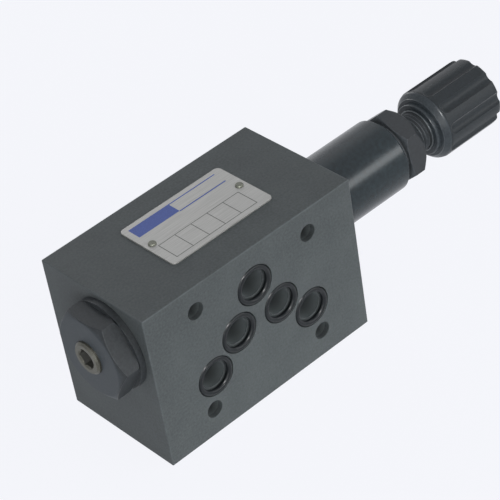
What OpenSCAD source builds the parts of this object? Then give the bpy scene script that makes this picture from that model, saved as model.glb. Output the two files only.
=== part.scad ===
// Hydraulic sandwich valve, pressure reducing, for a size 10 stack.
// X runs along the valve axis to the knob, Y from the seal face to the upper face, Z to the nameplate.
// The origin is the centre of the bolt pattern on the seal face. All sizes in millimetres.

/* [Body] */
// length of the block along the valve axis
body_l = 99; // [96:1:130]
// stack height between the two port faces
body_h = 55; // [50:1:70]
// width of the block from foot to nameplate
body_w = 67.4; // [64:0.2:85]
// how far the middle of the block lies below the bolt pattern
body_drop = 0.5; // [0:0.1:2]
// edge break all round the block
edge = 0.4; // [0.3:0.1:2]
// height of the valve axis above the seal face
axis_y = 21; // [20:0.5:27]
// offset of the valve axis from the pattern centre
axis_z = 13.5; // [12.5:0.1:14.5]

/* [Ports] */
// bolt spacing along the valve axis
bolt_dx = 54; // [50:0.1:56]
// bolt spacing across the valve axis
bolt_dz = 46; // [45:0.1:50]
// through hole for the stack bolts
bolt_d = 6.8; // [5:0.1:7]
// port bore
port_d = 10.2; // [7:0.1:11.2]
// counterbore for the port seals
seal_bore_d = 16.2; // [14.5:0.1:17]
// depth of that counterbore
seal_bore_t = 1.9; // [1.4:0.1:2.1]
// section of the port seals
seal_wire = 2.2; // [1.8:0.1:2.4]

/* [Spool] */
// spool and bore diameter
spool_d = 9; // [8:0.1:10]
// running clearance on the radius
spool_fit = 0.03; // [0.02:0.01:0.06]
// travel from open to closed
spool_stroke = 3; // [1.5:0.1:4]
// relief in the bore around each passage
annulus_d = 11.2; // [10.4:0.1:12]
// waist of the spool
waist_d = 5.6; // [4.4:0.1:7]

/* [End plug] */
// thread of plug and sleeve, drawn plain
thread_d = 27; // [24:0.5:28]
// screwed length of plug and sleeve
thread_len = 14; // [10:0.5:14.5]
// radial gap that stands for the thread
thread_fit = 0.15; // [0.1:0.05:0.3]
// hexagon across flats
plug_af = 32; // [27:0.5:34]
// hexagon height
plug_hex_t = 8; // [5:0.5:12]
// collar diameter
collar_d = 36; // [33:0.5:40]
// collar thickness
collar_t = 2.5; // [1:0.1:5]
// gauge port bore
gauge_d = 13.2; // [9:0.1:15]
// socket across flats
gauge_af = 7; // [4:0.1:8]
// how far the gauge plug stands out of the hexagon
gauge_proud = 1.5; // [0:0.1:3]

/* [Adjuster] */
// outside of the spring sleeve
sleeve_d = 30; // [29:0.5:36]
// visible length of the sleeve
sleeve_len = 35.8; // [33:0.2:60]
// spring chamber bore
chamber_d = 20; // [18.5:0.1:22]
// end wall of the sleeve
end_wall = 10.8; // [6:0.1:12]
// adjusting screw
screw_d = 16; // [12:0.1:18]
// lock nut across flats
nut_af = 27; // [24:0.5:30]
// lock nut height
nut_t = 10.5; // [7:0.1:12]
// round boss of the nut that seats on the sleeve
nut_boss_t = 2; // [0.5:0.1:3]
// inward travel of the screw
adjust_stroke = 7.5; // [4:0.1:8.5]
// room left between lock nut and knob hub with the screw right in
knob_room = 1.3; // [0.5:0.1:6]
// knob over the lobes
knob_d = 28.8; // [26:0.1:36]
// length of the knob without its hub
knob_len = 30; // [26:0.5:45]
// number of flutes
flutes = 10; // [6:1:16]
// depth of a flute
flute_t = 1.4; // [0.6:0.1:2]

/* [Spring] */
// wire of the adjusting spring
wire_d = 2.6; // [1.6:0.1:2.8]
// mean coil diameter
coil_d = 14; // [12.5:0.1:15]
// number of coils
coils = 5.5; // [4:0.5:6]

/* [Nameplate] */
// plate length
plate_l = 48; // [40:0.5:56]
// plate width
plate_w = 30; // [26:0.5:32]
// plate thickness
plate_t = 0.6; // [0.4:0.1:1]
// rivet head diameter
rivet_d = 3.2; // [2.6:0.1:3.6]

/* [Hidden] */
$fn = 96;

eps = 0.01;
half_l = body_l / 2;
half_w = body_w / 2;
top_z = half_w - body_drop;
low_z = -half_w - body_drop;
p_port = [0, 16.7];
a_port = [-10.3, 1.6];
b_port = [10.3, 1.6];
t_left = [-23.8, -9.5];
t_right = [23.8, -9.5];
thread_r = thread_d / 2;
bore_end = half_l - thread_len - 1;
inlet_half = port_d / 2 + 0.4;
outlet_x0 = inlet_half + 6;
relief_len = 7;
outlet_x1 = outlet_x0 + relief_len;
outlet_rise = 14;
outlet_y = axis_y + outlet_rise;
drain_r = 1.8;

// spool stations
spool_x0 = -(half_l - thread_len) + 0.3;
spool_x1 = half_l - thread_len + 0.5;
waist_x0 = inlet_half - spool_stroke + 0.4;
waist_x1 = outlet_x1 + 0.5;
pilot_r = 1.4;

// end plug stations
plug_front = half_l + collar_t + plug_hex_t;
gauge_bore_t = 11;
gauge_in = 9.4;
gauge_socket_t = 5;

// ring seals under plug and sleeve
neck_r = thread_r - 1.1;
plug_wire = 2.4;
plug_land_r = neck_r + plug_wire + 0.1;
sleeve_wire = 1.8;
sleeve_land_r = neck_r + sleeve_wire + 0.1;
land_t = 2.6;

// adjuster stations along X
sleeve_x1 = half_l + sleeve_len;
chamber_x1 = sleeve_x1 - end_wall;
nut_x0 = sleeve_x1;
nut_x1 = nut_x0 + nut_t;
hub_len = 1.9;
hub_r = 10.7;
hub_x0 = nut_x1 + adjust_stroke + knob_room;
knob_x0 = hub_x0 + hub_len;
knob_x1 = knob_x0 + knob_len;
knob_r = knob_d / 2;
screw_r = screw_d / 2;
screw_gap = 0.3;
piston_x1 = chamber_x1 - 1.5;
piston_len = 8;
piston_x0 = piston_x1 - piston_len;
piston_r = chamber_d / 2 - 0.05;
piston_wire = 1.8;
groove_r = chamber_d / 2 - piston_wire;
knob_wall = 8;
flute_turn = 23.5;
set_turn = flute_turn - 180 / flutes;
screw_x1 = knob_x1 - knob_wall;
set_x = knob_x0 + 6;
set_r = 2.5;
seat_t = 3;
seat_r = chamber_d / 2 - 1.3;
stub_r = coil_d / 2 - wire_d / 2 - 0.8;
spring_x0 = spool_x1 + seat_t;
spring_x1 = piston_x0;

// nameplate stations
plate_x = 1.5;
plate_y = body_h / 2 + 1.5;
plate_corner = 2;
rivet_dx = plate_l / 2 - 3;
rivet_len = 5;

// cylinder on the valve axis
module on_axis(x0, x1, r) {
    translate([x0, axis_y, axis_z])
        rotate([0, 90, 0])
            cylinder(h = x1 - x0, r = r);
}

// cone on the valve axis
module cone_axis(x0, x1, r0, r1) {
    translate([x0, axis_y, axis_z])
        rotate([0, 90, 0])
            cylinder(h = x1 - x0, r1 = r0, r2 = r1);
}

// ring of revolution on the valve axis, profile drawn as radius against X
module turned(x0) {
    translate([x0, axis_y, axis_z])
        rotate([0, 90, 0])
            rotate_extrude()
                children();
}

// hexagon bar on the valve axis, first corner at the given angle from +Y
module hex_axis(x0, x1, af, turn) {
    translate([x0, axis_y, axis_z])
        rotate([turn, 0, 0])
            rotate([0, 90, 0])
                rotate([0, 0, 90])
                    cylinder(h = x1 - x0, r = af / sqrt(3), $fn = 6);
}

// straight drilling across the stack
module across(at, y0, y1, r) {
    translate([at[0], y0, at[1]])
        rotate([-90, 0, 0])
            cylinder(h = y1 - y0, r = r);
}

// drilling between two points
module drilled(p, q, r) {
    way = q - p;
    run = norm(way);
    translate(p)
        rotate([0, acos(way[2] / run), atan2(way[1], way[0])])
            cylinder(h = run, r = r);
}

// one broken edge, a square bar turned by 45 degrees
module edge_bar(at, turn, run) {
    side = edge * sqrt(2);
    translate(at)
        rotate(turn)
            rotate([0, 0, 45])
                cube([side, side, run + 4], center = true);
}

module broken_edges() {
    for (sx = [-1, 1], sz = [-1, 1])
        edge_bar([sx * half_l, body_h / 2, sz * half_w - body_drop], [90, 0, 0], body_h);
    for (sy = [0, 1], sz = [-1, 1])
        edge_bar([0, sy * body_h, sz * half_w - body_drop], [0, 90, 0], body_l);
    for (sx = [-1, 1], sy = [0, 1])
        edge_bar([sx * half_l, sy * body_h, -body_drop], [0, 0, 0], body_w);
}

module port_holes() {
    for (at = [a_port, b_port, t_left, t_right])
        across(at, -1, body_h + 1, port_d / 2);
    across(p_port, -1, axis_y, port_d / 2);
    across(p_port, outlet_y, body_h + 1, port_d / 2);
    for (at = [p_port, a_port, b_port, t_left, t_right])
        across(at, -1, seal_bore_t, seal_bore_d / 2);
}

// valve bore with the inlet and outlet reliefs and the passages that serve them
module valve_bore() {
    on_axis(-bore_end - eps, bore_end + eps, spool_d / 2);
    on_axis(-inlet_half, inlet_half, annulus_d / 2);
    on_axis(outlet_x0, outlet_x1, annulus_d / 2);
    on_axis(-half_l - 1, -bore_end, thread_r + thread_fit);
    on_axis(bore_end, half_l + 1, thread_r + thread_fit);
    on_axis(-half_l - 1, -half_l + land_t, plug_land_r);
    on_axis(half_l - land_t, half_l + 1, sleeve_land_r);
    drilled([p_port[0], outlet_y + 2.5, p_port[1]], [outlet_x0 + 3.5, axis_y, axis_z], 2.8);
    drilled([bore_end + 1, axis_y, axis_z - thread_r + 2], [t_right[0], axis_y, t_right[1]], drain_r);
}

module body() {
    color("#4a4d4c")
        difference() {
            translate([-half_l, 0, low_z])
                cube([body_l, body_h, body_w]);
            broken_edges();
            port_holes();
            valve_bore();
            for (sx = [-1, 1], sz = [-1, 1])
                across([sx * bolt_dx / 2, sz * bolt_dz / 2], -1, body_h + 1, bolt_d / 2);
            for (sx = [-1, 1])
                translate([plate_x + sx * rivet_dx, plate_y, top_z - rivet_len - 1])
                    cylinder(h = rivet_len + 2, r = rivet_d / 3 + 0.05, $fn = 32);
        }
}

module end_plug() {
    corner = plug_af / sqrt(3);
    face_r = plug_af / 2 - 0.6;
    bevel = 1.8;
    color("#3f4243")
        difference() {
            union() {
                on_axis(-half_l + land_t, -half_l + thread_len, thread_r);
                on_axis(-half_l - eps, -half_l + land_t + eps, neck_r);
                on_axis(-half_l - collar_t, -half_l, collar_d / 2);
                intersection() {
                    hex_axis(-plug_front, -half_l - collar_t + eps, plug_af, 0);
                    union() {
                        cone_axis(-plug_front, -plug_front + bevel, face_r, corner + 0.1);
                        on_axis(-plug_front + bevel - eps, -half_l, corner + 0.1);
                    }
                }
            }
            on_axis(-plug_front - 1, -plug_front + gauge_bore_t, gauge_d / 2);
            on_axis(-plug_front + gauge_bore_t - 1, -half_l + thread_len + 1, 2);
        }
}

module end_plug_seal() {
    color("#1c1c1c")
        turned(-half_l + land_t - 0.1)
            intersection() {
                translate([neck_r + plug_wire / 2, -plug_wire / 2])
                    circle(d = plug_wire, $fn = 32);
                translate([neck_r + 0.05, -plug_wire])
                    square([plug_wire, plug_wire + 0.1]);
            }
}

module gauge_plug() {
    front = plug_front + gauge_proud;
    r = gauge_d / 2 - 0.05;
    bevel = 0.8;
    color("#b9a25a")
        difference() {
            union() {
                cone_axis(-front, -front + bevel, r - bevel, r);
                on_axis(-front + bevel - eps, -plug_front + gauge_in, r);
            }
            hex_axis(-front - 1, -front + gauge_socket_t, gauge_af, 0);
            cone_axis(-front - eps, -front + 0.6, gauge_af / 2 + bevel, gauge_af / 2);
        }
}

module spring_sleeve() {
    color("#26282a")
        difference() {
            union() {
                on_axis(half_l - thread_len, half_l - land_t, thread_r);
                on_axis(half_l - land_t - eps, half_l + eps, neck_r);
                on_axis(half_l, sleeve_x1 - 0.8, sleeve_d / 2);
                cone_axis(sleeve_x1 - 0.8 - eps, sleeve_x1, sleeve_d / 2, sleeve_d / 2 - 0.8);
            }
            on_axis(half_l - thread_len - 1, chamber_x1, chamber_d / 2);
            on_axis(chamber_x1 - eps, sleeve_x1 + 1, screw_r + screw_gap);
        }
}

module sleeve_seal() {
    color("#1c1c1c")
        turned(half_l - land_t + 0.1)
            intersection() {
                translate([neck_r + sleeve_wire / 2, sleeve_wire / 2])
                    circle(d = sleeve_wire, $fn = 32);
                translate([neck_r + 0.05, -0.1])
                    square([sleeve_wire, sleeve_wire + 0.2]);
            }
}

// hexagon nut on a round boss, its outer corners cut back further than the inner ones
module lock_nut() {
    corner = nut_af / sqrt(3);
    face_r = nut_af / 2 - 0.3;
    hex_x0 = nut_x0 + nut_boss_t;
    inner = 1.2;
    outer = 3.2;
    color("#2b2d2f")
        difference() {
            union() {
                on_axis(nut_x0, hex_x0 + eps, face_r - 0.8);
                intersection() {
                    hex_axis(hex_x0, nut_x1, nut_af, 19);
                    union() {
                        cone_axis(hex_x0, hex_x0 + inner, face_r, corner + 0.1);
                        on_axis(hex_x0 + inner - eps, nut_x1 - outer + eps, corner + 0.1);
                        cone_axis(nut_x1 - outer, nut_x1, corner + 0.1, face_r);
                    }
                }
            }
            on_axis(nut_x0 - 1, nut_x1 + 1, screw_r + screw_gap);
        }
}

// fluted grip: each flute is a round-ended channel that runs out through the far end
module knob() {
    flute_r = 3;
    shoulder_r = max(hub_r + 0.2, knob_r - 2.4);
    shoulder_t = 2;
    end_round = 0.8;
    knob_end = hub_len + knob_len;
    flute_at = knob_r + flute_r - flute_t;
    flute_x0 = knob_x0 + shoulder_t + flute_r;
    color("#242629")
        difference() {
            turned(hub_x0)
                polygon([[0, 0], [hub_r - 0.5, 0], [hub_r, 0.5], [hub_r, hub_len], [shoulder_r, hub_len],
                    [knob_r - 0.4, hub_len + shoulder_t], [knob_r, hub_len + shoulder_t + 1.2],
                    [knob_r, knob_end - 2.2], [knob_r - 0.2, knob_end - 1], [knob_r - 0.5, knob_end - 0.3],
                    [knob_r - end_round, knob_end], [0, knob_end]]);
            for (i = [0 : flutes - 1])
                translate([flute_x0, axis_y, axis_z])
                    rotate([i * 360 / flutes + flute_turn, 0, 0])
                        translate([0, flute_at, 0]) {
                            rotate([0, 90, 0])
                                cylinder(h = knob_len, r = flute_r, $fn = 48);
                            sphere(r = flute_r, $fn = 48);
                        }
            on_axis(hub_x0 - 1, screw_x1, screw_r + 0.05);
            translate([set_x, axis_y, axis_z])
                rotate([set_turn - 90, 0, 0])
                    cylinder(h = knob_d, r = set_r + 0.05, $fn = 48);
        }
}

module knob_set_screw() {
    color("#2b2d2f")
        translate([set_x, axis_y, axis_z])
            rotate([set_turn - 90, 0, 0])
                translate([0, 0, screw_r + 0.05])
                    difference() {
                        cylinder(h = 5, r = set_r, $fn = 48);
                        translate([0, 0, 2.5])
                            cylinder(h = 3, r = 1.4, $fn = 6);
                    }
}

module adjusting_screw() {
    color("#8d9092")
        difference() {
            union() {
                on_axis(piston_x1, screw_x1 - 1, screw_r);
                cone_axis(screw_x1 - 1 - eps, screw_x1, screw_r, screw_r - 1);
            }
            translate([set_x, axis_y, axis_z])
                rotate([set_turn - 90, 0, 0])
                    translate([0, 0, screw_r - 0.6])
                        cylinder(h = 2, r = set_r + 0.6, $fn = 48);
        }
}

module adjusting_piston() {
    mid = (piston_x0 + piston_x1) / 2;
    color("#9a9d9f")
        difference() {
            union() {
                on_axis(piston_x0, piston_x1, piston_r);
                on_axis(piston_x0 - 5, piston_x0 + eps, stub_r);
            }
            difference() {
                on_axis(mid - 1.3, mid + 1.3, piston_r + 1);
                on_axis(mid - 2, mid + 2, groove_r);
            }
        }
}

module piston_seal() {
    mid = (piston_x0 + piston_x1) / 2;
    color("#1c1c1c")
        turned(mid)
            intersection() {
                translate([groove_r + piston_wire / 2, 0])
                    circle(d = piston_wire, $fn = 32);
                translate([groove_r + 0.05, -piston_wire])
                    square([piston_wire - 0.1, 2 * piston_wire]);
            }
}

// swept wire with ground ends: rings of points along the helix, joined to a closed skin
module adjusting_spring() {
    per_turn = 24;
    sides = 10;
    steps = per_turn * coils;
    run = spring_x1 - spring_x0;
    tuck = 0.3 * wire_d;
    dead = 0.75;
    close = wire_d * 1.04;
    live = (run - 2 * tuck - 2 * dead * close) / (coils - 2 * dead);
    function rise(t) = t < dead ? close * t
        : t < coils - dead ? close * dead + live * (t - dead)
        : close * dead + live * (coils - 2 * dead) + close * (t - coils + dead);
    points = [for (i = [0 : steps]) for (k = [0 : sides - 1])
        let (t = i / per_turn, a = 360 * t, b = 360 * k / sides, r = coil_d / 2 + wire_d / 2 * cos(b))
        [spring_x0 + tuck + rise(t) + wire_d / 2 * sin(b), axis_y + r * cos(a), axis_z + r * sin(a)]];
    skin = [for (i = [0 : steps - 1]) for (k = [0 : sides - 1])
        let (n = (k + 1) % sides)
        [i * sides + k, (i + 1) * sides + k, (i + 1) * sides + n, i * sides + n]];
    first = [for (k = [0 : sides - 1]) k];
    last = [for (k = [sides - 1 : -1 : 0]) steps * sides + k];
    color("#b8bcbf")
        intersection() {
            polyhedron(points, concat(skin, [first, last]));
            translate([spring_x0, axis_y - coil_d, axis_z - coil_d])
                cube([run, 2 * coil_d, 2 * coil_d]);
        }
}

module spring_seat() {
    color("#9a9d9f")
        union() {
            on_axis(spool_x1, spring_x0, seat_r);
            on_axis(spring_x0 - eps, spring_x0 + 5, stub_r);
        }
}

// spool with a waist between inlet and outlet and a pilot drilling to its plug end
module control_spool() {
    land_r = spool_d / 2 - spool_fit;
    mid = (waist_x0 + waist_x1) / 2;
    color("#c3c7ca")
        difference() {
            on_axis(spool_x0, spool_x1, land_r);
            difference() {
                on_axis(waist_x0, waist_x1, land_r + 1);
                on_axis(waist_x0 - 1, waist_x1 + 1, waist_d / 2);
            }
            on_axis(spool_x0 - 1, mid + pilot_r, pilot_r);
            translate([mid, axis_y, axis_z - spool_d])
                cylinder(h = 2 * spool_d, r = pilot_r * 0.8, $fn = 32);
        }
}

// ring in a port counterbore, flat where it lies on the floor of the counterbore
module port_seal(at) {
    ring_r = seal_bore_d / 2 - seal_wire / 2 - 0.1;
    translate([at[0], seal_bore_t, at[1]])
        rotate([90, 0, 0])
            rotate_extrude()
                intersection() {
                    translate([ring_r, seal_wire / 2 - 0.05])
                        circle(d = seal_wire, $fn = 32);
                    translate([ring_r - seal_wire, 0])
                        square([2 * seal_wire, 2 * seal_wire]);
                }
}

module p_port_seal() {
    color("#1c1c1c") port_seal(p_port);
}

module a_port_seal() {
    color("#1c1c1c") port_seal(a_port);
}

module b_port_seal() {
    color("#1c1c1c") port_seal(b_port);
}

module t_port_seal_left() {
    color("#1c1c1c") port_seal(t_left);
}

module t_port_seal_right() {
    color("#1c1c1c") port_seal(t_right);
}

module nameplate() {
    inner_l = plate_l - 2 * plate_corner;
    inner_w = plate_w - 2 * plate_corner;
    color("#b2b2ae")
        translate([plate_x, plate_y, top_z])
            difference() {
                union() {
                    translate([-inner_l / 2, -plate_w / 2, 0])
                        cube([inner_l, plate_w, plate_t]);
                    translate([-plate_l / 2, -inner_w / 2, 0])
                        cube([plate_l, inner_w, plate_t]);
                    for (sx = [-1, 1], sy = [-1, 1])
                        translate([sx * inner_l / 2, sy * inner_w / 2, 0])
                            cylinder(h = plate_t, r = plate_corner, $fn = 48);
                }
                for (sx = [-1, 1])
                    translate([sx * rivet_dx, 0, -1])
                        cylinder(h = plate_t + 2, r = rivet_d / 3 + 0.05, $fn = 32);
            }
}

module nameplate_rivets() {
    head_t = rivet_d / 4;
    sphere_r = (pow(rivet_d / 2, 2) + pow(head_t, 2)) / (2 * head_t);
    color("#a8aaa9")
        for (sx = [-1, 1])
            translate([plate_x + sx * rivet_dx, plate_y, top_z + plate_t]) {
                translate([0, 0, -plate_t - rivet_len])
                    cylinder(h = plate_t + rivet_len + eps, r = rivet_d / 3, $fn = 32);
                intersection() {
                    translate([0, 0, head_t - sphere_r])
                        sphere(r = sphere_r, $fn = 64);
                    cylinder(h = head_t + 1, r = rivet_d / 2 + 0.2, $fn = 64);
                }
            }
}

body();
end_plug();
end_plug_seal();
gauge_plug();
spring_sleeve();
sleeve_seal();
lock_nut();
knob();
knob_set_screw();
adjusting_screw();
adjusting_piston();
piston_seal();
adjusting_spring();
spring_seat();
control_spool();
p_port_seal();
a_port_seal();
b_port_seal();
t_port_seal_left();
t_port_seal_right();
nameplate();
nameplate_rivets();
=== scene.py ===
import bpy
import math
from mathutils import Matrix, Vector


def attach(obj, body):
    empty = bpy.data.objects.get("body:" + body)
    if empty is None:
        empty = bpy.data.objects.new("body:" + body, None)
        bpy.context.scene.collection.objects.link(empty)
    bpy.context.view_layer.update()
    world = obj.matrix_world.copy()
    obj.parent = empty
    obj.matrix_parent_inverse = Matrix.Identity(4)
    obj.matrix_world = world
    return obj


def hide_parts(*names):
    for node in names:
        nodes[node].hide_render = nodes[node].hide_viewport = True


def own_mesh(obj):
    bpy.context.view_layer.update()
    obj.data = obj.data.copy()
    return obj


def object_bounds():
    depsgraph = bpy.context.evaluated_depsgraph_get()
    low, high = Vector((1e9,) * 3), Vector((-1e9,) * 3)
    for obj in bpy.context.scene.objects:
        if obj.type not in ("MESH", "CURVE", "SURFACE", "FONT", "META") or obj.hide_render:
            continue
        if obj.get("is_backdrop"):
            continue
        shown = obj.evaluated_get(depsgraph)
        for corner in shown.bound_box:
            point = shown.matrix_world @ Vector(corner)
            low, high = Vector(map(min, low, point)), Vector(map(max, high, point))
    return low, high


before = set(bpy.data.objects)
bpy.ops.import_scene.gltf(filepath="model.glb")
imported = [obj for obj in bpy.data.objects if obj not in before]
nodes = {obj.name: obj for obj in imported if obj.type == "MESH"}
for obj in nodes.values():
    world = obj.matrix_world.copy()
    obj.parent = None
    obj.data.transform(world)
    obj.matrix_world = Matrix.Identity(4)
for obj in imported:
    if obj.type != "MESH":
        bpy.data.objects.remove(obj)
cadLow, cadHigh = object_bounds()
bpy.ops.object.select_all(action="DESELECT")
mm = 0.001
axisY, axisZ = 21, 13.5  # the valve axis runs along X, at this place in mm
axisPoint = (0, axisY * mm, axisZ * mm)
hair, clear = 0.001, 0.1  # how far a cutting tool stands off a face, in mm
weld = 0.001              # points nearer than this, in mm, become one
touch = 1e-6              # metres within which a point lies on a face
cutTouch = 1e-7           # the same for a plane that cuts
print("frame loaded:", len(nodes), "nodes")


# small tools for picking, cutting and finishing
def pick(piece):
    bpy.ops.object.select_all(action="DESELECT")
    piece.select_set(True)
    bpy.context.view_layer.objects.active = piece


def named(name):
    piece = bpy.context.object
    piece.name = piece.data.name = name
    return piece


def settle(piece):
    # place, turn and scale go into the mesh, the object stays at the origin
    pick(piece)
    bpy.ops.object.transform_apply(location=True, rotation=True, scale=True)
    return piece


def editAll(piece):
    # edit mode on, with everything selected
    pick(piece)
    bpy.ops.object.mode_set(mode="EDIT")
    bpy.ops.mesh.select_all(action="SELECT")


def leaveEdit():
    bpy.ops.object.mode_set(mode="OBJECT")


def roundEdges(piece, test, offset, segments):
    # a rounding in mm along the edges that pass the test
    pick(piece)
    bpy.ops.object.mode_set(mode="EDIT")
    bpy.ops.mesh.select_mode(type="EDGE")
    bpy.ops.mesh.select_all(action="DESELECT")
    leaveEdit()
    spots = [v.co for v in piece.data.vertices]
    for edge in piece.data.edges:
        edge.select = test(spots[edge.vertices[0]], spots[edge.vertices[1]])
    bpy.ops.object.mode_set(mode="EDIT")
    bpy.ops.mesh.bevel(offset=offset * mm, segments=segments, affect="EDGES")
    leaveEdit()


def onAxis(x):
    return (x, axisY, axisZ)


def onShaft(points):
    # a profile closed at both ends on the valve axis
    return [(points[0][0], 0), *points, (points[-1][0], 0)]


def cuboid(name, middle, size):
    bpy.ops.object.select_all(action="DESELECT")
    bpy.ops.mesh.primitive_cube_add(size=1, location=[at * mm for at in middle], scale=[long * mm for long in size])
    return settle(named(name))


def drawn(name, points):
    # a line of points in mm from the valve axis (x, outwards, sideways), drawn vertex by vertex
    points = [Vector(point).to_3d() * mm for point in points]
    bpy.ops.object.select_all(action="DESELECT")
    bpy.ops.mesh.primitive_plane_add(size=mm, location=axisPoint)
    piece = named(name)
    bpy.ops.object.mode_set(mode="EDIT")
    bpy.ops.mesh.select_mode(type="VERT")
    bpy.ops.mesh.select_all(action="SELECT")
    bpy.ops.mesh.merge(type="CENTER")
    bpy.ops.transform.translate(value=points[0])
    for last, here in zip(points, points[1:]):
        bpy.ops.mesh.extrude_vertices_move(TRANSFORM_OT_translate={"value": here - last})
    bpy.ops.mesh.select_all(action="SELECT")
    return piece


def turned(name, points, steps=96):
    # lathe work: the drawn line goes once round the valve axis
    piece = drawn(name, points)
    bpy.ops.mesh.spin(steps=steps, angle=2 * math.pi, center=axisPoint, axis=(1, 0, 0))
    bpy.ops.mesh.select_all(action="SELECT")
    bpy.ops.mesh.remove_doubles(threshold=weld * mm)
    bpy.ops.mesh.normals_make_consistent(inside=False)
    leaveEdit()
    return settle(piece)


def bar(name, start, end, radius, corners=64, turn=0.0):
    # round or hexagon bar between two points in mm
    start, end = Vector(start), Vector(end)
    along = end - start
    bpy.ops.object.select_all(action="DESELECT")
    bpy.ops.mesh.primitive_cylinder_add(vertices=corners, radius=radius * mm, depth=along.length * mm,
                                        location=(start + end) / 2 * mm)
    piece = named(name)
    piece.rotation_mode = "QUATERNION"
    spun = Matrix.Rotation(math.radians(turn), 3, along.normalized())
    piece.rotation_quaternion = (spun @ along.to_track_quat("Z", "Y").to_matrix()).to_quaternion()
    return settle(piece)


def combine(piece, tool, operation="DIFFERENCE"):
    pick(piece)
    bpy.ops.object.modifier_add(type="BOOLEAN")
    step = piece.modifiers[-1]
    step.operation, step.object, step.solver = operation, tool, "EXACT"
    bpy.ops.object.modifier_apply(modifier=step.name)
    bpy.data.objects.remove(tool)


def trim(x, side):
    # in edit mode: what lies past a plane across the valve axis is cut off and the cut is closed
    bpy.ops.mesh.select_all(action="SELECT")
    bpy.ops.mesh.bisect(plane_co=(x * mm, *axisPoint[1:]), plane_no=(side, 0, 0), use_fill=True, clear_outer=True,
                        threshold=cutTouch)
    bpy.ops.mesh.select_all(action="SELECT")


def shade(piece, angle=32):
    # smooth over the roundings, with the flat faces kept flat
    pick(piece)
    bpy.ops.object.shade_smooth_by_angle(angle=math.radians(angle))
    bpy.ops.object.modifier_add(type="WEIGHTED_NORMAL")
    step = piece.modifiers[-1]
    step.keep_sharp = True
    bpy.ops.object.modifier_apply(modifier=step.name)


def soften(piece, width, angle=30):
    # small rounding along every sharp edge, in the piece's last material, then smooth shading
    pick(piece)
    bpy.ops.object.modifier_add(type="BEVEL")
    step = piece.modifiers[-1]
    step.width, step.segments = width * mm, 2
    step.limit_method, step.angle_limit = "ANGLE", math.radians(angle)
    step.material = len(piece.data.materials) - 1
    bpy.ops.object.modifier_apply(modifier=step.name)
    shade(piece)


def fromAxis(spot):
    # distance from the valve axis in mm
    return math.hypot(spot.y - axisY * mm, spot.z - axisZ * mm) / mm


# small tools for materials
def linear(hexColour):
    # sRGB hex to the linear colour that a socket takes
    parts = [int(hexColour[i:i + 2], 16) / 255 for i in (1, 3, 5)]
    return [p / 12.92 if p <= 0.04045 else ((p + 0.055) / 1.055) ** 2.4 for p in parts] + [1.0]


def addNode(tree, kind, inputs=None, **settings):
    # one node; an input is a plain value, the socket that feeds it, or a node whose first output does
    node = tree.nodes.new(kind)
    for name, value in settings.items():
        if name == "stops":
            for element, (at, colour) in zip(node.color_ramp.elements, value):
                element.position, element.color = at, linear(colour)
        else:
            setattr(node, name, value)
    for socket, value in (inputs or {}).items():
        if isinstance(value, bpy.types.Node):
            value = value.outputs[0]
        if isinstance(value, bpy.types.NodeSocket):
            tree.links.new(value, node.inputs[socket])
        else:
            node.inputs[socket].default_value = value
    return node


def startMaterial(name):
    made = bpy.data.materials.new(name)
    made.use_nodes = True
    tree = made.node_tree
    place = addNode(tree, "ShaderNodeTexCoord").outputs["Object"]
    return made, tree, tree.nodes["Principled BSDF"], place


def finishPaint(tree, paint, colour, pattern, height, rough, relief, sockets):
    # colour, roughness between two values, relief as (strength, depth in mm), then plain values
    dull = addNode(tree, "ShaderNodeMapRange", {"Value": pattern, "To Min": rough[0], "To Max": rough[1]})
    bump = addNode(tree, "ShaderNodeBump",
                   {"Strength": relief[0], "Distance": relief[1] * mm, "Height": height})
    for socket, source in (("Base Color", colour), ("Roughness", dull.outputs[0]), ("Normal", bump.outputs[0])):
        tree.links.new(source, paint.inputs[socket])
    for socket, value in sockets.items():
        paint.inputs[socket].default_value = value


def grainy(name, dark, light, rough, metal, grainSize, depth=0.03, **sockets):
    # metals and mouldings: colour, roughness and a slight unevenness follow one noise, grain size in mm
    made, tree, paint, place = startMaterial(name)
    grain = addNode(tree, "ShaderNodeTexNoise",
                    {"Vector": place, "Scale": 1 / (grainSize * mm), "Detail": 4.0, "Roughness": 0.6})
    tone = addNode(tree, "ShaderNodeValToRGB", {"Fac": grain}, stops=[(0.35, dark), (0.7, light)])
    finishPaint(tree, paint, tone.outputs["Color"], grain, grain, (rough - 0.06, rough + 0.08), (0.15, depth),
                {"Metallic": metal, **sockets})
    return made


def give(piece, *materials):
    piece.data.materials.clear()
    for material in materials:
        piece.data.materials.append(material)


# camera at the photograph's place
view = {
    "place": (-0.34731, -0.46346, 0.48528),
    "right": (0.72399, -0.67626, -0.13602),
    "up": (0.50218, 0.38153, 0.77605),
    "back": (-0.47292, -0.63016, 0.61583),
    "lens": 152.73, "sensor": 36, "near": 0.01, "far": 30,
}
bpy.ops.object.camera_add()
photoCamera = bpy.context.object
photoCamera.name = "photoCamera"
columns = [view["right"], view["up"], view["back"], view["place"]]
photoCamera.matrix_world = Matrix([[c[row] for c in columns] for row in range(3)] + [[0, 0, 0, 1]])
photoCamera.data.lens, photoCamera.data.sensor_width = view["lens"], view["sensor"]
photoCamera.data.clip_start, photoCamera.data.clip_end = view["near"], view["far"]
bpy.context.scene.camera = photoCamera
print("camera placed")

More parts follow.
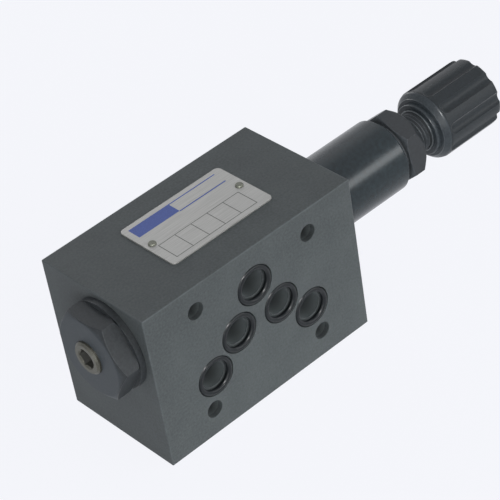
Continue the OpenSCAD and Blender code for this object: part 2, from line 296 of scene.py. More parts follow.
# studio: pale paper floor, pale surround, soft boxes, a small flash by the lens and a low beam
studio = {
    "pale": "#f7f8fd",
    "fill": 0.262,       # how much the surround lights the part
    "floorGlow": 0.95,   # share of the floor that stays pale in the shadow
    "floorSize": 8, "floorGap": 0.0001,
    "aim": (0.02, 0.02, 0.0),
    "lamps": [
        # name, direction from the part, distance, width, height, watts
        ("rightBox", (0.53, -0.70, 0.37), 0.9, 0.9, 0.26, 3.6),
        ("leftBox", (-0.80, -0.58, 0.10), 0.9, 0.5, 0.5, 2.75),
        ("topBox", (0.35, 0.55, 0.75), 0.6, 0.4, 0.4, 0.14),
        ("backBox", (0.25, 0.93, 0.25), 0.9, 0.5, 0.5, 1.6),
        ("cameraFlash", (-0.47, -0.63, 0.62), 0.8, 0.06, 0.06, 9.0),
    ],
    # fades out half way up the port face
    "beam": {"place": (0.06, -0.9, 0.06), "aim": (0.0, 0.0, -0.12), "cone": 16, "blend": 1.0, "soft": 0.1,
             "watts": 24},
}
pale = linear(studio["pale"])
world = bpy.data.worlds.new("paleStudio")
bpy.context.scene.world = world
world.use_nodes = True
paper, paperTree, paperPaint = startMaterial("matt_paper_floor")[:3]  # plain roll of pale paper, no shine
for socket, value in (("Base Color", pale), ("Roughness", 0.9), ("Specular IOR Level", 0.1)):
    paperPaint.inputs[socket].default_value = value
for tree in (world.node_tree, paperTree):
    # pale to the eye and in mirrors, weaker as a source of light
    path = addNode(tree, "ShaderNodeLightPath").outputs
    seen = addNode(tree, "ShaderNodeMath", {0: path["Is Camera Ray"], 1: path["Is Glossy Ray"]},
                   operation="MAXIMUM")
    seen = addNode(tree, "ShaderNodeMath", {0: seen, 1: path["Is Transmission Ray"]}, operation="MAXIMUM")
    if tree == paperTree:
        seen = addNode(tree, "ShaderNodeMath", {0: seen, 1: studio["floorGlow"]}, operation="MULTIPLY")
        under = paperPaint
        over = addNode(tree, "ShaderNodeEmission", {"Color": pale, "Strength": 1.0})
        out = tree.nodes["Material Output"]
    else:
        under = addNode(tree, "ShaderNodeBackground", {"Color": pale, "Strength": studio["fill"]})
        over = addNode(tree, "ShaderNodeBackground", {"Color": pale, "Strength": 1.0})
        out = tree.nodes["World Output"]
    mixed = addNode(tree, "ShaderNodeMixShader", {0: seen, 1: under, 2: over})
    tree.links.new(mixed.outputs[0], out.inputs["Surface"])
bpy.ops.mesh.primitive_plane_add(size=studio["floorSize"], location=(0, 0, cadLow.z - studio["floorGap"]))
floor = settle(named("paperFloor"))
give(floor, paper)
floor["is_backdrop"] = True


def addLamp(kind, name, place, back, watts):
    # lamp at a place in metres, with its back turned the way that is given
    bpy.ops.object.light_add(type=kind, location=place)
    lamp = bpy.context.object
    lamp.name = name
    lamp.rotation_mode = "QUATERNION"
    lamp.rotation_quaternion = back.to_track_quat("Z", "Y")
    lamp.data.energy = watts
    return lamp


for name, toward, far, wide, high, watts in studio["lamps"]:
    toward = Vector(toward).normalized()
    lamp = addLamp("AREA", name, Vector(studio["aim"]) + toward * far, toward, watts)
    lamp.data.shape = "RECTANGLE"
    lamp.data.size, lamp.data.size_y = wide, high
    lamp.visible_diffuse = name != "cameraFlash"  # the flash only draws glints on rounded edges
beam = studio["beam"]
lamp = addLamp("SPOT", "footBeam", beam["place"], Vector(beam["place"]) - Vector(beam["aim"]), beam["watts"])
lamp.data.spot_size, lamp.data.spot_blend = math.radians(beam["cone"]), beam["blend"]
lamp.data.shadow_soft_size = beam["soft"]
bpy.context.scene.view_settings.view_transform = "Standard"
print("studio lit")

# plain materials: name, darker and lighter tone, roughness, metallic, grain in mm
shine = "Specular IOR Level"
# polished dark skin, one long soft highlight
sleeveSteel = grainy("blued_sleeve_steel", "#1d272b", "#263338", 0.22, 0.08, 1.6, **{shine: 0.38})
# even black with a satin face
nutSteel = grainy("black_oxide_nut_steel", "#1b2023", "#262b2f", 0.4, 0.0, 1.2)
# pale grey for the black oiled spindle: painted light that lifts its shade in the neck
litSpindleSteel = grainy("oiled_spindle_steel_painted_light", "#464c50", "#535a5f", 0.6, 0.0, 1.0)
# bright running faces, hidden inside
brightSteel = grainy("ground_steel", "#a9acae", "#bfc2c4", 0.25, 1.0, 0.8)
# grey wire with a smooth drawn skin
springSteel = grainy("oil_tempered_spring_wire", "#54585b", "#6a6f73", 0.35, 1.0, 0.8)
# warm grey plating with a soft shine
zincPlate = grainy("yellow_passivated_zinc", "#4b4b43", "#5c5b51", 0.42, 0.4, 0.7)
# painted shade deep in the gauge plug's socket
socketShade = grainy("painted_socket_shade", "#26261f", "#35352c", 0.6, 0.0, 0.6)
# black rubber, faintly wet with oil
nitrile = grainy("nitrile_rubber", "#1b1f21", "#25292c", 0.3, 0.0, 0.5, **{shine: 0.2})
# soft grey heads without a mirror
rivetMetal = grainy("dull_aluminium_rivet", "#5c5e55", "#72746a", 0.52, 0.6, 0.4)
# dull moulded skin; its resin film shows only where it turns away, with a trace of dust
knobPlastic = grainy("moulded_black_phenolic", "#292e31", "#32383c", 0.85, 0.0, 0.8, 0.05, **{
    shine: 0.1, "Coat Weight": 0.7, "Coat Roughness": 0.42, "Coat IOR": 1.27,
    "Sheen Weight": 0.35, "Sheen Roughness": 0.35})
# insert that the knob is moulded on, a pale arc round the spindle
bushSteel = grainy("turned_steel_bush", "#4d5356", "#5d6366", 0.3, 0.35, 0.6)
# paler copy of the skin on the hub face and shoulder: painted light that lifts the shade between nut and knob
litKnobShoulder = grainy("phenolic_shoulder_painted_light", "#3f464a", "#4c5358", 0.3, 0.0, 0.8, **{shine: 0.22})
# brighter steel shows through the oxide
steelEdge = grainy("rubbed_oxide_edge", "#24292c", "#30363a", 0.3, 0.0, 1.1, **{shine: 0.4})
# flat matt print
blueInk = grainy("blue_screen_ink", "#2f4a98", "#3f5aa8", 0.5, 0.0, 0.4)
blackInk = grainy("black_screen_ink", "#3a3c3a", "#4a4c49", 0.55, 0.0, 0.4)

finishes = {"knob_set_screw": nutSteel, "adjusting_piston": brightSteel, "spring_seat": brightSteel,
            "control_spool": brightSteel}
for name, piece in nodes.items():
    give(piece, finishes.get(name, nitrile))
print("plain materials made")

# valve block: cuboid with rounded edges, drilled as the solid is; sizes in mm
block = {
    "size": (99, 55, 67.4), "middle": (0, 27.5, -0.5), "round": 0.45, "roundSteps": 3,
    "bolt": 3.4, "boltAt": (27, 23), "port": 5.1, "sealBore": 8.1, "sealDeep": 1.9, "outlet": 35,
    "ports": {"p": (0, 16.7), "a": (-10.3, 1.6), "b": (10.3, 1.6), "tLeft": (-23.8, -9.5), "tRight": (23.8, -9.5)},
    # spool bore, its two reliefs, then thread and seal bores: from, to, radius
    "bores": [(-36, 36, 4.5), (-5.5, 5.5, 5.6), (11.5, 18.5, 5.6), (-50.5, -34.5, 13.65), (34.5, 50.5, 13.65),
              (-50.5, -46.9, 14.9), (46.9, 50.5, 14.3)],
    # outlet and drain: from, to, radius
    "passages": [((0, 37.5, 16.7), (15, 21, 13.5), 2.8), ((35.5, 21, 2), (23.8, 21, -9.5), 1.8)],
    "over": 1, "smallDrill": 3, "corners": 72, "smallCorners": 32,
    # hole rims: rounding, largest radius that is one, how round it has to be
    "rim": 0.3, "rimSteps": 2, "rimReach": 8.3, "rimTrue": 0.02,
}
# phosphated cast iron: a milled block with a dull dark grey coat. The eye gets a fine dry grain, faint cutter lines
# and a coat that is rubbed thin and paler along the edges, which also paints the light line the rounded edges catch;
# the drilled ways are uncoated and paler
iron = {
    "dark": "#484d4e", "light": "#585e5f", "edge": "#747b7d", "bareAndLit": "#666d6e",
    "grain": 0.9, "cloud": 14, "lay": 0.8, "layLong": 25,  # sizes in mm, the lay coarser than real to show
    "cloudShare": 0.45, "cloudShift": -0.22, "layShare": 0.5,
    # rubbed edges with a painted edge highlight: least and added reach in mm, rise per mm, strength
    "wearAndLightLeast": 0.1, "wearAndLightMore": 0.9, "wearAndLightRise": 1.5, "wearAndLightShare": 0.5,
    "bareFrom": 2.2,  # mm in from the nearest face
    "rough": (0.52, 0.68), "relief": (0.25, 0.06), "shine": 0.25,
}
phosphatedIron, tree, paint, place = startMaterial("phosphated_cast_iron")
grain = addNode(tree, "ShaderNodeTexNoise",
                {"Vector": place, "Scale": 1 / (iron["grain"] * mm), "Detail": 3.0, "Roughness": 0.6})
cloud = addNode(tree, "ShaderNodeTexNoise", {"Vector": place, "Scale": 1 / (iron["cloud"] * mm), "Detail": 4.0})
slow, quick = 1 / (iron["layLong"] * mm), 1 / (iron["lay"] * mm)
stretch = addNode(tree, "ShaderNodeMapping", {"Vector": place, "Scale": (slow, slow, quick)})
lay = addNode(tree, "ShaderNodeTexNoise", {"Vector": stretch, "Scale": 1.0, "Detail": 3.0})
patchy = addNode(tree, "ShaderNodeMath", {0: cloud, 1: iron["cloudShare"], 2: iron["cloudShift"]},
                 operation="MULTIPLY_ADD")
speck = addNode(tree, "ShaderNodeMath", {0: grain, 1: patchy}, operation="ADD")
coat = addNode(tree, "ShaderNodeValToRGB", {"Fac": speck}, stops=[(0.3, iron["dark"]), (0.7, iron["light"])])
xyz = addNode(tree, "ShaderNodeSeparateXYZ", {0: place})
depths = []
for way, middle, size in zip("XYZ", block["middle"], block["size"]):
    off = addNode(tree, "ShaderNodeMath", {0: xyz.outputs[way], 1: middle * mm}, operation="SUBTRACT")
    off = addNode(tree, "ShaderNodeMath", {0: off}, operation="ABSOLUTE")
    depths.append(addNode(tree, "ShaderNodeMath", {0: size / 2 * mm, 1: off}, operation="SUBTRACT"))
least = addNode(tree, "ShaderNodeMath", {0: depths[0], 1: depths[1]}, operation="MINIMUM")
most = addNode(tree, "ShaderNodeMath", {0: depths[0], 1: depths[1]}, operation="MAXIMUM")
second = addNode(tree, "ShaderNodeMath", {0: most, 1: depths[2]}, operation="MINIMUM")
second = addNode(tree, "ShaderNodeMath", {0: least, 1: second}, operation="MAXIMUM")
least = addNode(tree, "ShaderNodeMath", {0: least, 1: depths[2]}, operation="MINIMUM")
# the second smallest depth is near nothing only along the twelve edges
# edges paler: rubbed coat and a painted highlight along the twelve edges
reach = addNode(tree, "ShaderNodeMath", {0: cloud, 1: iron["wearAndLightMore"] * mm, 2: iron["wearAndLightLeast"] * mm},
                operation="MULTIPLY_ADD")
wearAndEdgeHighlight = addNode(tree, "ShaderNodeMath", {0: reach, 1: second}, operation="SUBTRACT")
wearAndEdgeHighlight = addNode(tree, "ShaderNodeMath", {0: wearAndEdgeHighlight, 1: iron["wearAndLightRise"] / mm}, operation="MULTIPLY", use_clamp=True)
wearAndEdgeHighlight = addNode(tree, "ShaderNodeMath", {0: wearAndEdgeHighlight, 1: iron["wearAndLightShare"]}, operation="MULTIPLY")
coat = addNode(tree, "ShaderNodeMix", {"Factor": wearAndEdgeHighlight, 6: coat, 7: linear(iron["edge"])}, data_type="RGBA")
# deep in the drilled ways the walls take the paler tone: partly uncoated iron, partly painted light in the shaded
# holes
inside = addNode(tree, "ShaderNodeMath", {0: least, 1: iron["bareFrom"] * mm}, operation="GREATER_THAN")
coat = addNode(tree, "ShaderNodeMix", {"Factor": inside, 6: coat.outputs[2], 7: linear(iron["bareAndLit"])},
               data_type="RGBA")
height = addNode(tree, "ShaderNodeMath", {0: lay, 1: iron["layShare"], 2: grain}, operation="MULTIPLY_ADD")
finishPaint(tree, paint, coat.outputs[2], grain, height, iron["rough"], iron["relief"], {shine: iron["shine"]})

valveBlock = cuboid("valveBlock", block["middle"], block["size"])
roundEdges(valveBlock, lambda a, b: True, block["round"], block["roundSteps"])
below, above = -block["over"], block["size"][1] + block["over"]
bolts = [(sx * block["boltAt"][0], sz * block["boltAt"][1]) for sx in (-1, 1) for sz in (-1, 1)]
drills = [((x, below, z), (x, above, z), block["bolt"]) for x, z in bolts]
for name, (x, z) in block["ports"].items():
    # only the pressure line stops at the spool
    runs = [(below, axisY), (block["outlet"], above)] if name == "p" else [(below, above)]
    drills += [((x, y0, z), (x, y1, z), block["port"]) for y0, y1 in runs]
    drills.append(((x, below, z), (x, block["sealDeep"], z), block["sealBore"]))
drills += [(onAxis(x0), onAxis(x1), radius) for x0, x1, radius in block["bores"]]
drills += block["passages"]
for start, end, radius in drills:
    corners = block["corners"] if radius > block["smallDrill"] else block["smallCorners"]
    combine(valveBlock, bar("drill", start, end, radius, corners))


def onRim(a, b):
    # an edge round a bolt hole, port or seal bore, on either port face
    for face in (0, block["size"][1] * mm):
        if max(abs(a.y - face), abs(b.y - face)) < touch:
            for x, z in bolts + list(block["ports"].values()):
                near = [math.hypot(p.x - x * mm, p.z - z * mm) / mm for p in (a, b)]
                if max(near) < block["rimReach"] and abs(near[0] - near[1]) < block["rimTrue"]:
                    return True
    return False


roundEdges(valveBlock, onRim, block["rim"], block["rimSteps"])
shade(valveBlock)
give(valveBlock, phosphatedIron)
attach(valveBlock, "housing")
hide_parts("body")
print("valve block drilled")

# end plug: chamfered hexagon on a round collar, bored for the gauge plug; sizes in mm
plug = {
    "front": -60, "collar": -52, "seat": -49.5, "neck": -46.9, "end": -35.5,
    "flats": 32, "faceR": 15.4, "chamfer": 1.8, "collarR": 18, "neckR": 12.4, "threadR": 13.5,
    # the hexagon's foot: how far it is sunk, where its taper starts, its radius, where the tool ends
    "sunk": 0.6, "taper": 1, "footR": 17.4, "footEnd": -50,
    "drills": [(-61, -49, 6.6, 64), (-50, -34, 2, 32)],  # from, to, radius, corners
    "soft": 0.25,
}
# black oxide plug steel: hexagon bar keeps a dark oily skin, the turned front is rubbed lighter in fine rings; that
# lighter tone also goes by the normal, so the chamfer's lower-left side is painted light and its upper-right side
# stays dark
plugTone = {
    "dark": "#313537", "light": "#3d4144", "front": "#3f464b", "grain": 1.1, "ring": 0.7,  # sizes in mm
    "paintedLightFacing": (-0.9, 0.3, -0.3), "facingFrom": 0.75, "facingTo": 0.88,
    "frontFrom": -57, "frontTo": -57.5,  # where along the axis the rubbed front begins, in mm
    "ringShare": 0.25, "ringWaver": 0.4, "rough": (0.42, 0.58), "relief": (0.15, 0.03), "shine": 0.22,
}
waveUnit = 0.314  # a wave texture of scale 1 repeats after this many metres
plugSteel, tree, paint, place = startMaterial("black_oxide_plug_steel")
grain = addNode(tree, "ShaderNodeTexNoise",
                {"Vector": place, "Scale": 1 / (plugTone["grain"] * mm), "Detail": 4.0, "Roughness": 0.6})
tone = addNode(tree, "ShaderNodeValToRGB", {"Fac": grain},
               stops=[(0.35, plugTone["dark"]), (0.7, plugTone["light"])])
# faces turned toward -X, +Y and down take the lighter front tone: painted light on the chamfer's lower-left side
paintedLightFacing = addNode(tree, "ShaderNodeVectorMath",
                 {0: addNode(tree, "ShaderNodeNewGeometry").outputs["Normal"], 1: plugTone["paintedLightFacing"]},
                 operation="DOT_PRODUCT")
front = addNode(tree, "ShaderNodeMapRange", {"Value": paintedLightFacing.outputs["Value"], "From Min": plugTone["facingFrom"],
                                             "From Max": plugTone["facingTo"]})
centred = addNode(tree, "ShaderNodeMapping", {"Vector": place, "Location": [-at for at in axisPoint]})
rings = addNode(tree, "ShaderNodeTexWave",
                {"Vector": centred, "Scale": waveUnit / (plugTone["ring"] * mm), "Distortion": plugTone["ringWaver"]},
                wave_type="RINGS", rings_direction="X")
rubbed = addNode(tree, "ShaderNodeMath",
                 {0: rings.outputs["Fac"], 1: plugTone["ringShare"], 2: 1 - plugTone["ringShare"]},
                 operation="MULTIPLY_ADD")
rubbed = addNode(tree, "ShaderNodeMath", {0: rubbed, 1: front}, operation="MULTIPLY")
xyz = addNode(tree, "ShaderNodeSeparateXYZ", {0: place})
within = addNode(tree, "ShaderNodeMapRange", {"Value": xyz.outputs["X"], "From Min": plugTone["frontFrom"] * mm,
                                              "From Max": plugTone["frontTo"] * mm})
rubbed = addNode(tree, "ShaderNodeMath", {0: rubbed, 1: within}, operation="MULTIPLY")
tone = addNode(tree, "ShaderNodeMix", {"Factor": rubbed, 6: tone, 7: linear(plugTone["front"])}, data_type="RGBA")
finishPaint(tree, paint, tone.outputs[2], grain, grain, plugTone["rough"], plugTone["relief"],
            {shine: plugTone["shine"]})

corner = plug["flats"] / math.sqrt(3)
hexPlug = bar("hexPlug", onAxis(plug["front"]), onAxis(plug["collar"] + plug["sunk"]), corner, 6, 90)
combine(hexPlug, turned("cone", onShaft([
    (plug["front"] - hair, plug["faceR"]), (plug["front"] + plug["chamfer"], corner + clear),
    (plug["collar"] - plug["taper"], corner + clear), (plug["collar"] + clear, plug["footR"]),
    (plug["footEnd"], plug["footR"])])), "INTERSECT")
combine(hexPlug, turned("collar", onShaft([
    (plug["collar"], plug["collarR"]), (plug["seat"], plug["collarR"]), (plug["seat"], plug["neckR"]),
    (plug["neck"], plug["neckR"]), (plug["neck"], plug["threadR"]), (plug["end"], plug["threadR"])])), "UNION")
for x0, x1, radius, corners in plug["drills"]:
    combine(hexPlug, bar("drill", onAxis(x0), onAxis(x1), radius, corners))
give(hexPlug, plugSteel, steelEdge)
soften(hexPlug, plug["soft"])
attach(hexPlug, "housing")
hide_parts("end_plug")

# gauge plug: socket screw that closes the gauge port; sizes in mm
gauge = {
    "front": -61.5, "end": -50.6, "radius": 6.55, "chamfer": 0.8, "flats": 7, "deep": 5, "over": 1, "steps": 64,
    "sink": [(-0.4, 1.2), (0.6, 0.1)],  # countersink: along from the front, out from the flats
    # past this depth the socket takes the painted shade
    "socketShadeFrom": 0.9,                      # how far into the socket the plating stays clean
    "soft": 0.15,
}
socketR = gauge["flats"] / math.sqrt(3)
gaugeScrew = turned("gaugeScrew", onShaft([
    (gauge["front"], gauge["radius"] - gauge["chamfer"]), (gauge["front"] + gauge["chamfer"], gauge["radius"]),
    (gauge["end"], gauge["radius"])]), gauge["steps"])
combine(gaugeScrew, bar("socket", onAxis(gauge["front"] - gauge["over"]), onAxis(gauge["front"] + gauge["deep"]),
                        socketR, 6, 90))
combine(gaugeScrew, turned("cone", onShaft([(gauge["front"] + x, gauge["flats"] / 2 + r) for x, r in gauge["sink"]]),
                           gauge["steps"]))
give(gaugeScrew, socketShade, zincPlate)
soften(gaugeScrew, gauge["soft"])
# deep in the socket the faces keep the dark tone: painted shade
for side in gaugeScrew.data.polygons:
    if fromAxis(side.center) > socketR or side.center.x < (gauge["front"] + gauge["socketShadeFrom"]) * mm:
        side.material_index = 1
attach(gaugeScrew, "housing")
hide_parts("gauge_plug")

# spring sleeve: turned tube with a neck and thread inside the block; sizes in mm
sleeve = {
    "start": 35.5, "neck": 46.9, "seat": 49.5, "wall": 74.5, "end": 85.3, "threadR": 13.5, "neckR": 12.4,
    "radius": 15, "chamfer": 0.8, "bore": 8.3, "chamber": 10, "steps": 128, "soft": 0.15,
}
springTube = turned("springTube", [
    (sleeve["start"], sleeve["chamber"]), (sleeve["start"], sleeve["threadR"]), (sleeve["neck"], sleeve["threadR"]),
    (sleeve["neck"], sleeve["neckR"]), (sleeve["seat"], sleeve["neckR"]), (sleeve["seat"], sleeve["radius"]),
    (sleeve["end"] - sleeve["chamfer"], sleeve["radius"]), (sleeve["end"], sleeve["radius"] - sleeve["chamfer"]),
    (sleeve["end"], sleeve["bore"]), (sleeve["wall"], sleeve["bore"]), (sleeve["wall"], sleeve["chamber"]),
    (sleeve["start"], sleeve["chamber"])], sleeve["steps"])
give(springTube, sleeveSteel)
soften(springTube, sleeve["soft"])
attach(springTube, "housing")
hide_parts("spring_sleeve")

# lock nut: hexagon on a round boss, the outer corners cut back further than the inner ones; sizes in mm
nut = {
    "start": 85.3, "hex": 87.3, "end": 95.8, "flats": 27, "turn": 19, "inner": 1.2, "outer": 3.2, "face": 13.2,
    "boss": 12.4, "bossRoot": 1, "bossCorners": 96, "bore": 8.3, "sink": 0.8, "past": 0.3,
    "seam": 0.1, "litGapFacing": -0.5, "soft": 0.32,
}
corner = nut["flats"] / math.sqrt(3)
flare = nut["bore"] + nut["sink"] + nut["past"]
lockNut = bar("lockNut", onAxis(nut["hex"]), onAxis(nut["end"]), corner, 6, 90 + nut["turn"])
combine(lockNut, turned("cone", onShaft([
    (nut["hex"] - hair, nut["face"]), (nut["hex"] + nut["inner"], corner + clear),
    (nut["end"] - nut["outer"], corner + clear), (nut["end"] + hair, nut["face"])])), "INTERSECT")
combine(lockNut, bar("boss", onAxis(nut["start"]), onAxis(nut["hex"] + nut["bossRoot"]), nut["boss"],
                     nut["bossCorners"]), "UNION")
combine(lockNut, turned("bore", onShaft([
    (nut["start"] - nut["past"], flare), (nut["start"] + nut["sink"], nut["bore"]),
    (nut["end"] - nut["sink"], nut["bore"]), (nut["end"] + nut["past"], flare)])))
give(lockNut, nutSteel, litSpindleSteel, steelEdge)
soften(lockNut, nut["soft"])
# the boss and the faces toward the sleeve take the pale spindle tone: painted light in the shaded gap
for side in lockNut.data.polygons:
    if side.center.x < (nut["hex"] - nut["seam"]) * mm or side.normal.x < nut["litGapFacing"]:
        side.material_index = 1  # the turned boss and what faces the sleeve
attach(lockNut, "nut")
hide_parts("lock_nut")
print("plug, sleeve and nut turned")

# adjusting spindle: one turn of the thread is drawn, wound along the axis and trimmed; sizes in mm
thread = {
    "pitch": 1.5, "start": 73, "end": 128.5, "steps": 40, "short": 0.03, "smooth": 32, "weld": 0.002,
    # one thread: share of the pitch, radius
    "form": [(-1, 7.06), (-0.75, 7.06), (-0.44, 7.97), (-0.31, 7.97), (0, 7.06)],
}
spindle = drawn("spindle", [(thread["start"] + share * thread["pitch"], radius) for share, radius in thread["form"]])
leaveEdit()
pick(spindle)
bpy.ops.object.modifier_add(type="SCREW")
wind = spindle.modifiers[-1]
wind.axis, wind.angle, wind.screw_offset = "X", 2 * math.pi, thread["pitch"] * mm
wind.iterations = int((thread["end"] - thread["start"]) / thread["pitch"]) + 2
wind.steps = wind.render_steps = thread["steps"]
wind.use_merge_vertices, wind.merge_threshold = True, weld * mm
bpy.ops.object.modifier_apply(modifier=wind.name)
editAll(settle(spindle))
bpy.ops.mesh.remove_doubles(threshold=thread["weld"] * mm)
trim(thread["start"] + thread["short"], -1)
trim(thread["end"] - thread["short"], 1)
bpy.ops.mesh.normals_make_consistent(inside=False)
leaveEdit()
bpy.ops.object.shade_smooth_by_angle(angle=math.radians(thread["smooth"]))
# the spindle's pale tone is painted light in the shaded neck
give(spindle, litSpindleSteel)
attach(spindle, "handwheel")
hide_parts("adjusting_screw")

# hand knob: turned blank with a chamfered shoulder, ten flutes that run out through the far end; sizes in mm
grip = {
    "hub": 104.6, "hubR": 10.7, "face": 106.5, "faceR": 12.0, "radius": 14.4, "end": 136.5,
    "bore": 8.05, "boreEnd": 128.55, "steps": 160, "soft": 0.24, "softAngle": 24,
    # lip of the steel bush, which stands out of the hub round the spindle: along from the hub, out from the bore
    "bush": [(-0.65, 0), (-0.7, 0.08), (-0.7, 0.3), (-0.64, 0.5), (-0.48, 0.66), (-0.25, 0.72), (0, 0.74)],
    "hubRound": [(0, 0.5), (0.05, 0.3), (0.15, 0.15), (0.3, 0.05), (0.5, 0)],
    # shoulder, from its face: a fine lip, the chamfer and a second lip
    "lips": [(0, 0), (0.03, 0.1), (0.1, 0.18), (0.2, 0.22), (0.32, 0.24), (0.42, 0.27), (0.6, 0.5), (1.75, 1.75),
             (1.92, 1.9), (2.12, 2.03), (2.4, 2.15), (2.75, 2.26)],
    "full": 3.2,  # where the full radius starts, from the face
    # rounded far end, from its corner
    "tail": [(-2.2, 0), (-0.8, -0.1), (-0.25, -0.3), (0, -0.6), (0, -2)],
    "flutes": 10, "fluteR": 3, "fluteDeep": 1.4, "fluteFrom": 108.5, "fluteTurn": 23.5, "over": 1,
    "fluteCorners": 40, "fluteRound": 2.98, "fluteSteps": 8, "startZone": 0.01,
    "setAt": 112.5, "setRun": (7, 16), "setR": 2.55, "setCorners": 40,
    # where the paler, painted-light shoulder ends, and the bush's two limits from the bore
    "shoulder": 2.4, "bushIn": 0.05, "bushOut": 0.73,
}
handKnob = turned("handKnob", onShaft(
    [(grip["boreEnd"], grip["bore"])]
    + [(grip["hub"] + x, grip["bore"] + r) for x, r in grip["bush"]]
    + [(grip["hub"] + x, grip["hubR"] - r) for x, r in grip["hubRound"]]
    + [(grip["face"], grip["hubR"])]
    + [(grip["face"] + x, grip["faceR"] + r) for x, r in grip["lips"]]
    + [(grip["face"] + grip["full"], grip["radius"])]
    + [(grip["end"] + x, grip["radius"] + r) for x, r in grip["tail"]]), grip["steps"])
fluteY = axisY + grip["radius"] + grip["fluteR"] - grip["fluteDeep"]
flutes = bar("flutes", (grip["fluteFrom"], fluteY, axisZ), (grip["end"] + grip["over"], fluteY, axisZ),
             grip["fluteR"], grip["fluteCorners"])
startEnd = (grip["fluteFrom"] + grip["startZone"]) * mm
roundEdges(flutes, lambda a, b: max(a.x, b.x) < startEnd, grip["fluteRound"], grip["fluteSteps"])
editAll(flutes)
for i in range(grip["flutes"]):
    # the first is turned to its place, each copy goes one step on
    if i > 0:
        bpy.ops.mesh.duplicate()
    turn = 360 / grip["flutes"] if i > 0 else grip["fluteTurn"]
    bpy.ops.transform.rotate(value=-math.radians(turn), orient_axis="X", center_override=axisPoint)
leaveEdit()
combine(handKnob, flutes)
lobe = math.radians(grip["fluteTurn"] - 180 / grip["flutes"])
setStart, setEnd = [(grip["setAt"], axisY + off * math.cos(lobe), axisZ + off * math.sin(lobe))
                    for off in grip["setRun"]]
combine(handKnob, bar("drill", setStart, setEnd, grip["setR"], grip["setCorners"]))
give(handKnob, knobPlastic, bushSteel, litKnobShoulder)
soften(handKnob, grip["soft"], grip["softAngle"])
# hub face and shoulder take the paler copy of the skin, painted light in the shaded neck; the bush keeps its steel
for side in handKnob.data.polygons:
    off = fromAxis(side.center) - grip["bore"]
    if side.center.x / mm < grip["face"] + grip["shoulder"] and off > grip["bushIn"]:
        side.material_index = 1 if off < grip["bushOut"] else 2
    elif side.material_index == 2:
        side.material_index = 0
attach(handKnob, "handwheel")
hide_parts("knob")
print("spindle and knob made")

# adjusting spring: wire wound with closed, ground ends. It is in two lengths that meet where the wire stands
# still; sizes in mm
spring = {
    "start": 39, "end": 65, "wire": 2.6, "coil": 14, "turns": 5.5, "perTurn": 24, "tuck": 0.78,
    "dead": 0.75, "shut": 1.04,  # closed turns at each end, and their pitch in wires
    "cut": 40,                   # the step at which the two lengths meet
    "seatTravel": 3.0, "pistonTravel": 7.5, "section": 4,
}
close = spring["wire"] * spring["shut"]
liveTurns = spring["turns"] - 2 * spring["dead"]
live = (spring["end"] - spring["start"] - 2 * spring["tuck"] - 2 * spring["dead"] * close) / liveTurns
helix = []
for i in range(int(spring["turns"] * spring["perTurn"]) + 1):
    t = i / spring["perTurn"]
    slack = min(max(t - spring["dead"], 0), liveTurns)
    helix.append((spring["start"] + spring["tuck"] + close * (t - slack) + live * slack,
                  spring["coil"] / 2 * math.cos(2 * math.pi * t), spring["coil"] / 2 * math.sin(2 * math.pi * t)))
for name, path, ground, side, joint, travel in (
        ("springSeatEnd", helix[:spring["cut"] + 1], spring["start"], -1, "spool_shift", spring["seatTravel"]),
        ("springPistonEnd", helix[spring["cut"]:], spring["end"], 1, "adjuster_feed", spring["pistonTravel"])):
    drawn(name, path)
    leaveEdit()
    bpy.ops.object.convert(target="CURVE")
    wire = bpy.context.object.data
    wire.bevel_depth, wire.bevel_resolution = spring["wire"] / 2 * mm, spring["section"]
    wire.use_fill_caps = True
    bpy.ops.object.convert(target="MESH")
    coil = settle(named(name))
    editAll(coil)
    bpy.ops.mesh.remove_doubles(threshold=weld * mm)
    trim(ground, side)
    bpy.ops.mesh.normals_make_consistent(inside=False)
    leaveEdit()
    shade(coil)
    give(coil, springSteel)
    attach(coil, "housing")
    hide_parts("adjusting_spring")
    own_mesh(coil)
print("spring wound")

# nameplate: thin plate with rounded corners; the print is flush, so its areas are cut into the face; in mm
plate = {
    "size": (48, 30, 0.6), "middle": (1.5, 29, 33.5), "top": 33.8, "corner": 2, "cornerSteps": 8,
    "edge": 0.2, "edgeSteps": 2, "smooth": 25, "upward": 0.9,
    # printed areas: left, low, right, high
    "blue": [(-19.9, 35.4, -0.8, 41.7), (-0.8, 41.15, 21.5, 41.7), (-0.8, 34.95, 21.5, 35.55)],
    "black": [(-18.9, 26.3, 19.7, 26.6), (-18.9, 16.3, 19.7, 16.6)]
    + [(x - 0.15, 16.3, x + 0.15, 26.6) for x in (-18.75, -11.1, -3.4, 4.3, 12.0, 19.55)],
}
# brushed anodised aluminium: pale plate with fine streaks along its length
plateTone = {
    "dark": "#8f8f8c", "light": "#a6a6a3", "streak": 0.35, "streakLong": 16.67,  # sizes in mm
    "rough": (0.38, 0.55), "relief": (0.2, 0.02), "metal": 0.6,
}
plateMetal, tree, paint, place = startMaterial("brushed_anodised_aluminium")
slow, quick = 1 / (plateTone["streakLong"] * mm), 1 / (plateTone["streak"] * mm)
stretch = addNode(tree, "ShaderNodeMapping", {"Vector": place, "Scale": (slow, quick, 1)})
streak = addNode(tree, "ShaderNodeTexNoise", {"Vector": stretch, "Scale": 1.0, "Detail": 5.0, "Roughness": 0.65})
tone = addNode(tree, "ShaderNodeValToRGB", {"Fac": streak},
               stops=[(0.3, plateTone["dark"]), (0.7, plateTone["light"])])
finishPaint(tree, paint, tone.outputs["Color"], streak, streak, plateTone["rough"], plateTone["relief"],
            {"Metallic": plateTone["metal"]})

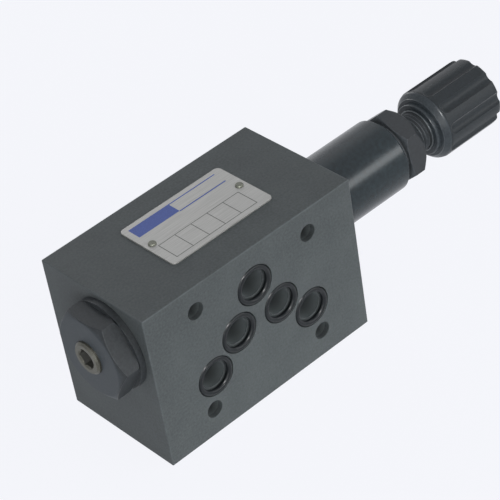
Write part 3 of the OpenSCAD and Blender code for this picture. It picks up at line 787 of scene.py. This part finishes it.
namePlate = cuboid("namePlate", plate["middle"], plate["size"])
roundEdges(namePlate, lambda a, b: abs(a.z - b.z) > plate["size"][2] / 2 * mm, plate["corner"], plate["cornerSteps"])
roundEdges(namePlate, lambda a, b: min(a.z, b.z) > plate["top"] * mm - touch, plate["edge"], plate["edgeSteps"])
editAll(namePlate)
for x0, y0, x1, y1 in plate["blue"] + plate["black"]:
    for across in ((1, 0, 0), (0, 1, 0)):
        for at in ((x0, y0, 0), (x1, y1, 0)):
            bpy.ops.mesh.select_all(action="SELECT")
            bpy.ops.mesh.bisect(plane_co=Vector(at) * mm, plane_no=across, threshold=cutTouch)
leaveEdit()
give(namePlate, plateMetal, blueInk, blackInk)
for side in namePlate.data.polygons:
    x, y = side.center.x / mm, side.center.y / mm
    if side.normal.z > plate["upward"]:
        for ink, areas in ((1, plate["blue"]), (2, plate["black"])):
            if any(x0 < x < x1 and y0 < y < y1 for x0, y0, x1, y1 in areas):
                side.material_index = ink
shade(namePlate, plate["smooth"])
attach(namePlate, "housing")
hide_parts("nameplate")

# rivets: domed heads on shanks that go into the block; sizes in mm
rivet = {
    "radius": 1.6, "high": 0.8, "corners": 40, "dome": 0.72, "domeSteps": 6, "domeZone": 0.01,
    "shank": 1.06, "shankDown": 5.6, "shankUp": 0.2, "shankCorners": 32, "smooth": 40,
    "at": ((22.5, 29), (-19.5, 29)),
}
x, y = rivet["at"][0]
top = plate["top"]
headTop = top + rivet["high"]
plateRivets = bar("plateRivets", (x, y, top), (x, y, headTop), rivet["radius"], rivet["corners"])
roundEdges(plateRivets, lambda a, b: min(a.z, b.z) > (headTop - rivet["domeZone"]) * mm, rivet["dome"],
           rivet["domeSteps"])
combine(plateRivets, bar("shank", (x, y, top - rivet["shankDown"]), (x, y, top + rivet["shankUp"]), rivet["shank"],
                         rivet["shankCorners"]), "UNION")
editAll(plateRivets)
bpy.ops.mesh.duplicate()
bpy.ops.transform.translate(value=((rivet["at"][1][0] - x) * mm, 0, 0))
leaveEdit()
shade(plateRivets, rivet["smooth"])
give(plateRivets, rivetMetal)
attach(plateRivets, "housing")
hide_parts("nameplate_rivets")
print("nameplate riveted")

low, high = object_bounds()
